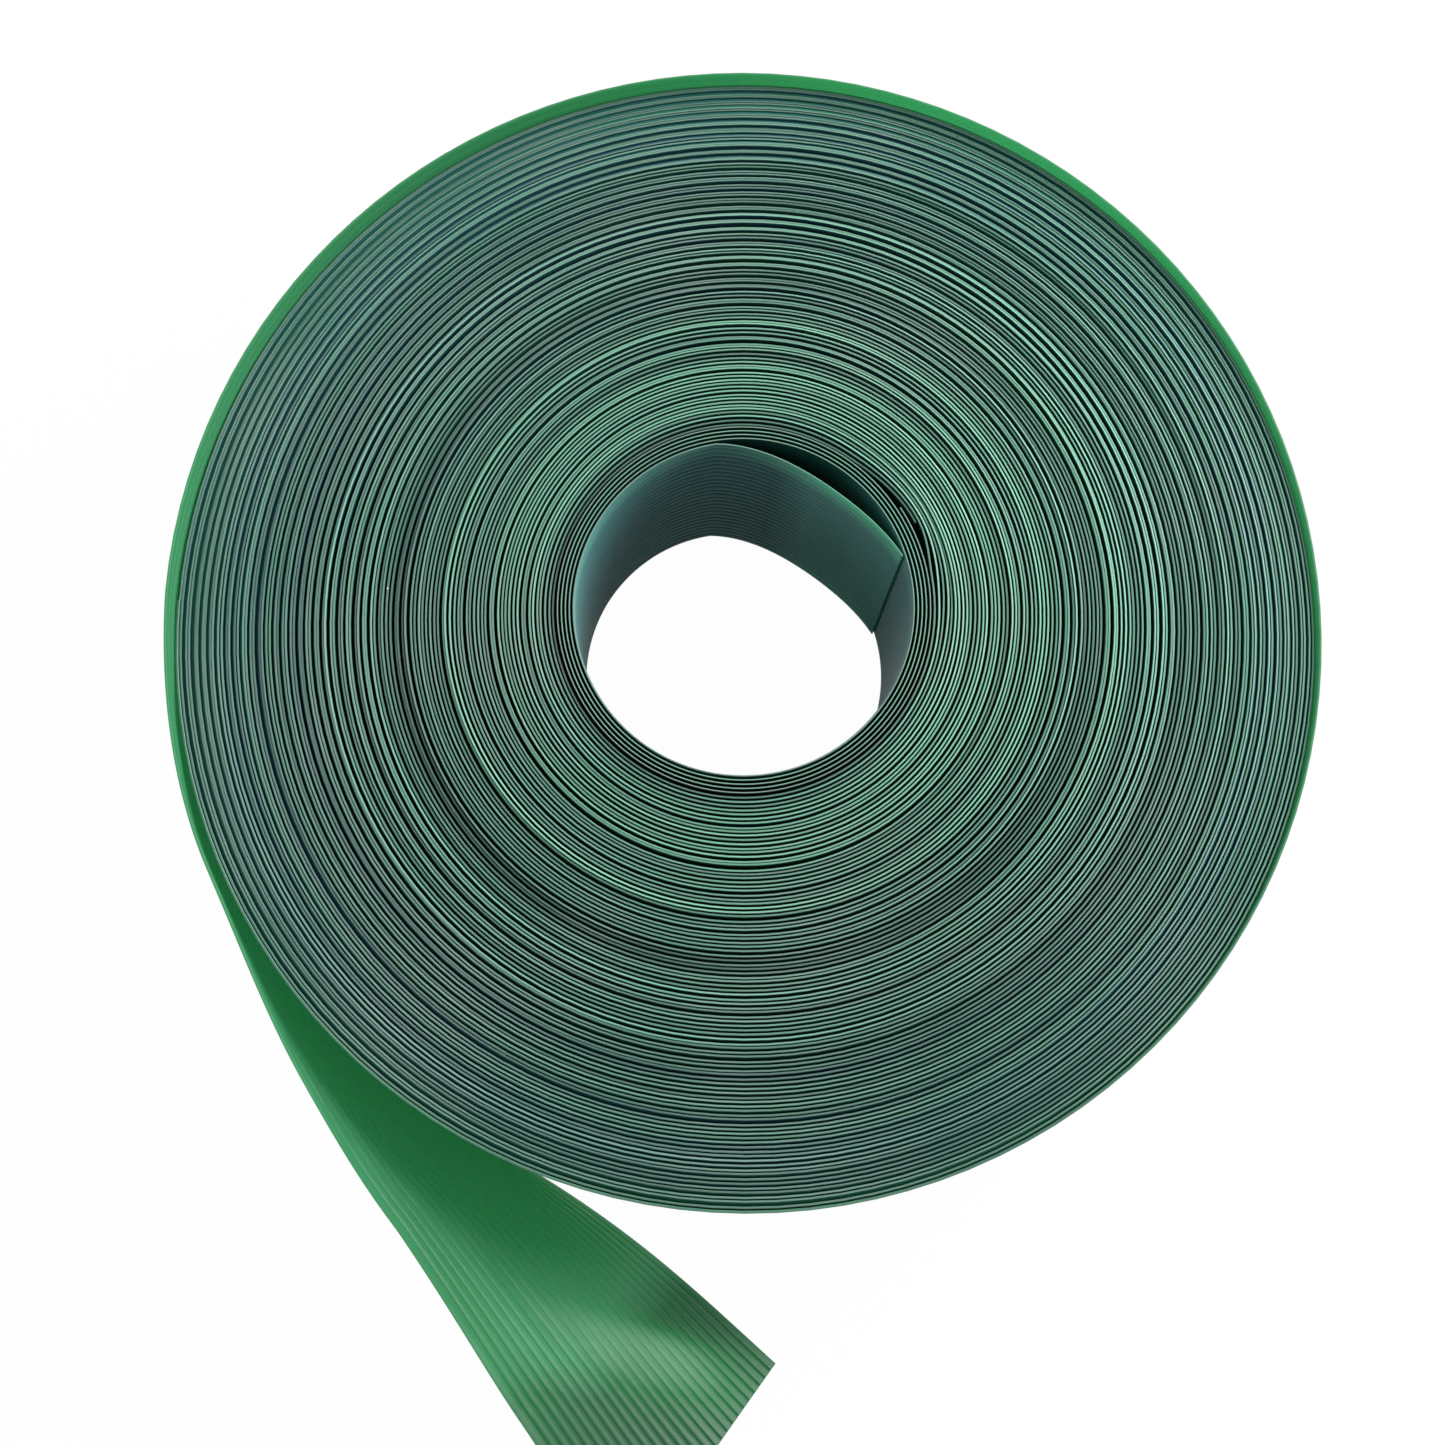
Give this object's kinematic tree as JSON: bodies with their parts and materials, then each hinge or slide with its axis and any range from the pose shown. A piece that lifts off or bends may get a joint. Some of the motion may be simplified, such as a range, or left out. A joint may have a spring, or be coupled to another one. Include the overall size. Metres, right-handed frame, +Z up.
{
  "type": "ribbed plastic strip roll",
  "caption": "Flat roll of thin ribbed translucent green plastic strip, wound on its edge round an open bore, with a loose inner end and a free tail.",
  "frame": {"origin": "middle of the open bore, in the plane of the roll's lower edges", "axes": "+Z up along the roll's axis, -X towards the place where the free tail leaves the roll, and the strip winds outwards anticlockwise seen from +Z"},
  "size_m": [0.1854, 0.2439, 0.0524],
  "materials": {
    "inner_strip": "translucent soft PVC, satin gloss, dark where turns lie close",
    "main_strip": "pale cut edges of translucent soft PVC with dark gaps between turns",
    "outer_strip": "translucent soft PVC, satin gloss, fine lengthwise ribs"
  },
  "bodies": {
    "root": {"inner_strip_turns": "inner_strip", "inner_strip_end": "inner_strip", "main_strip_turns": "main_strip", "raised_outer_turn": "outer_strip", "free_tail": "outer_strip"}
  },
  "joints": []
}
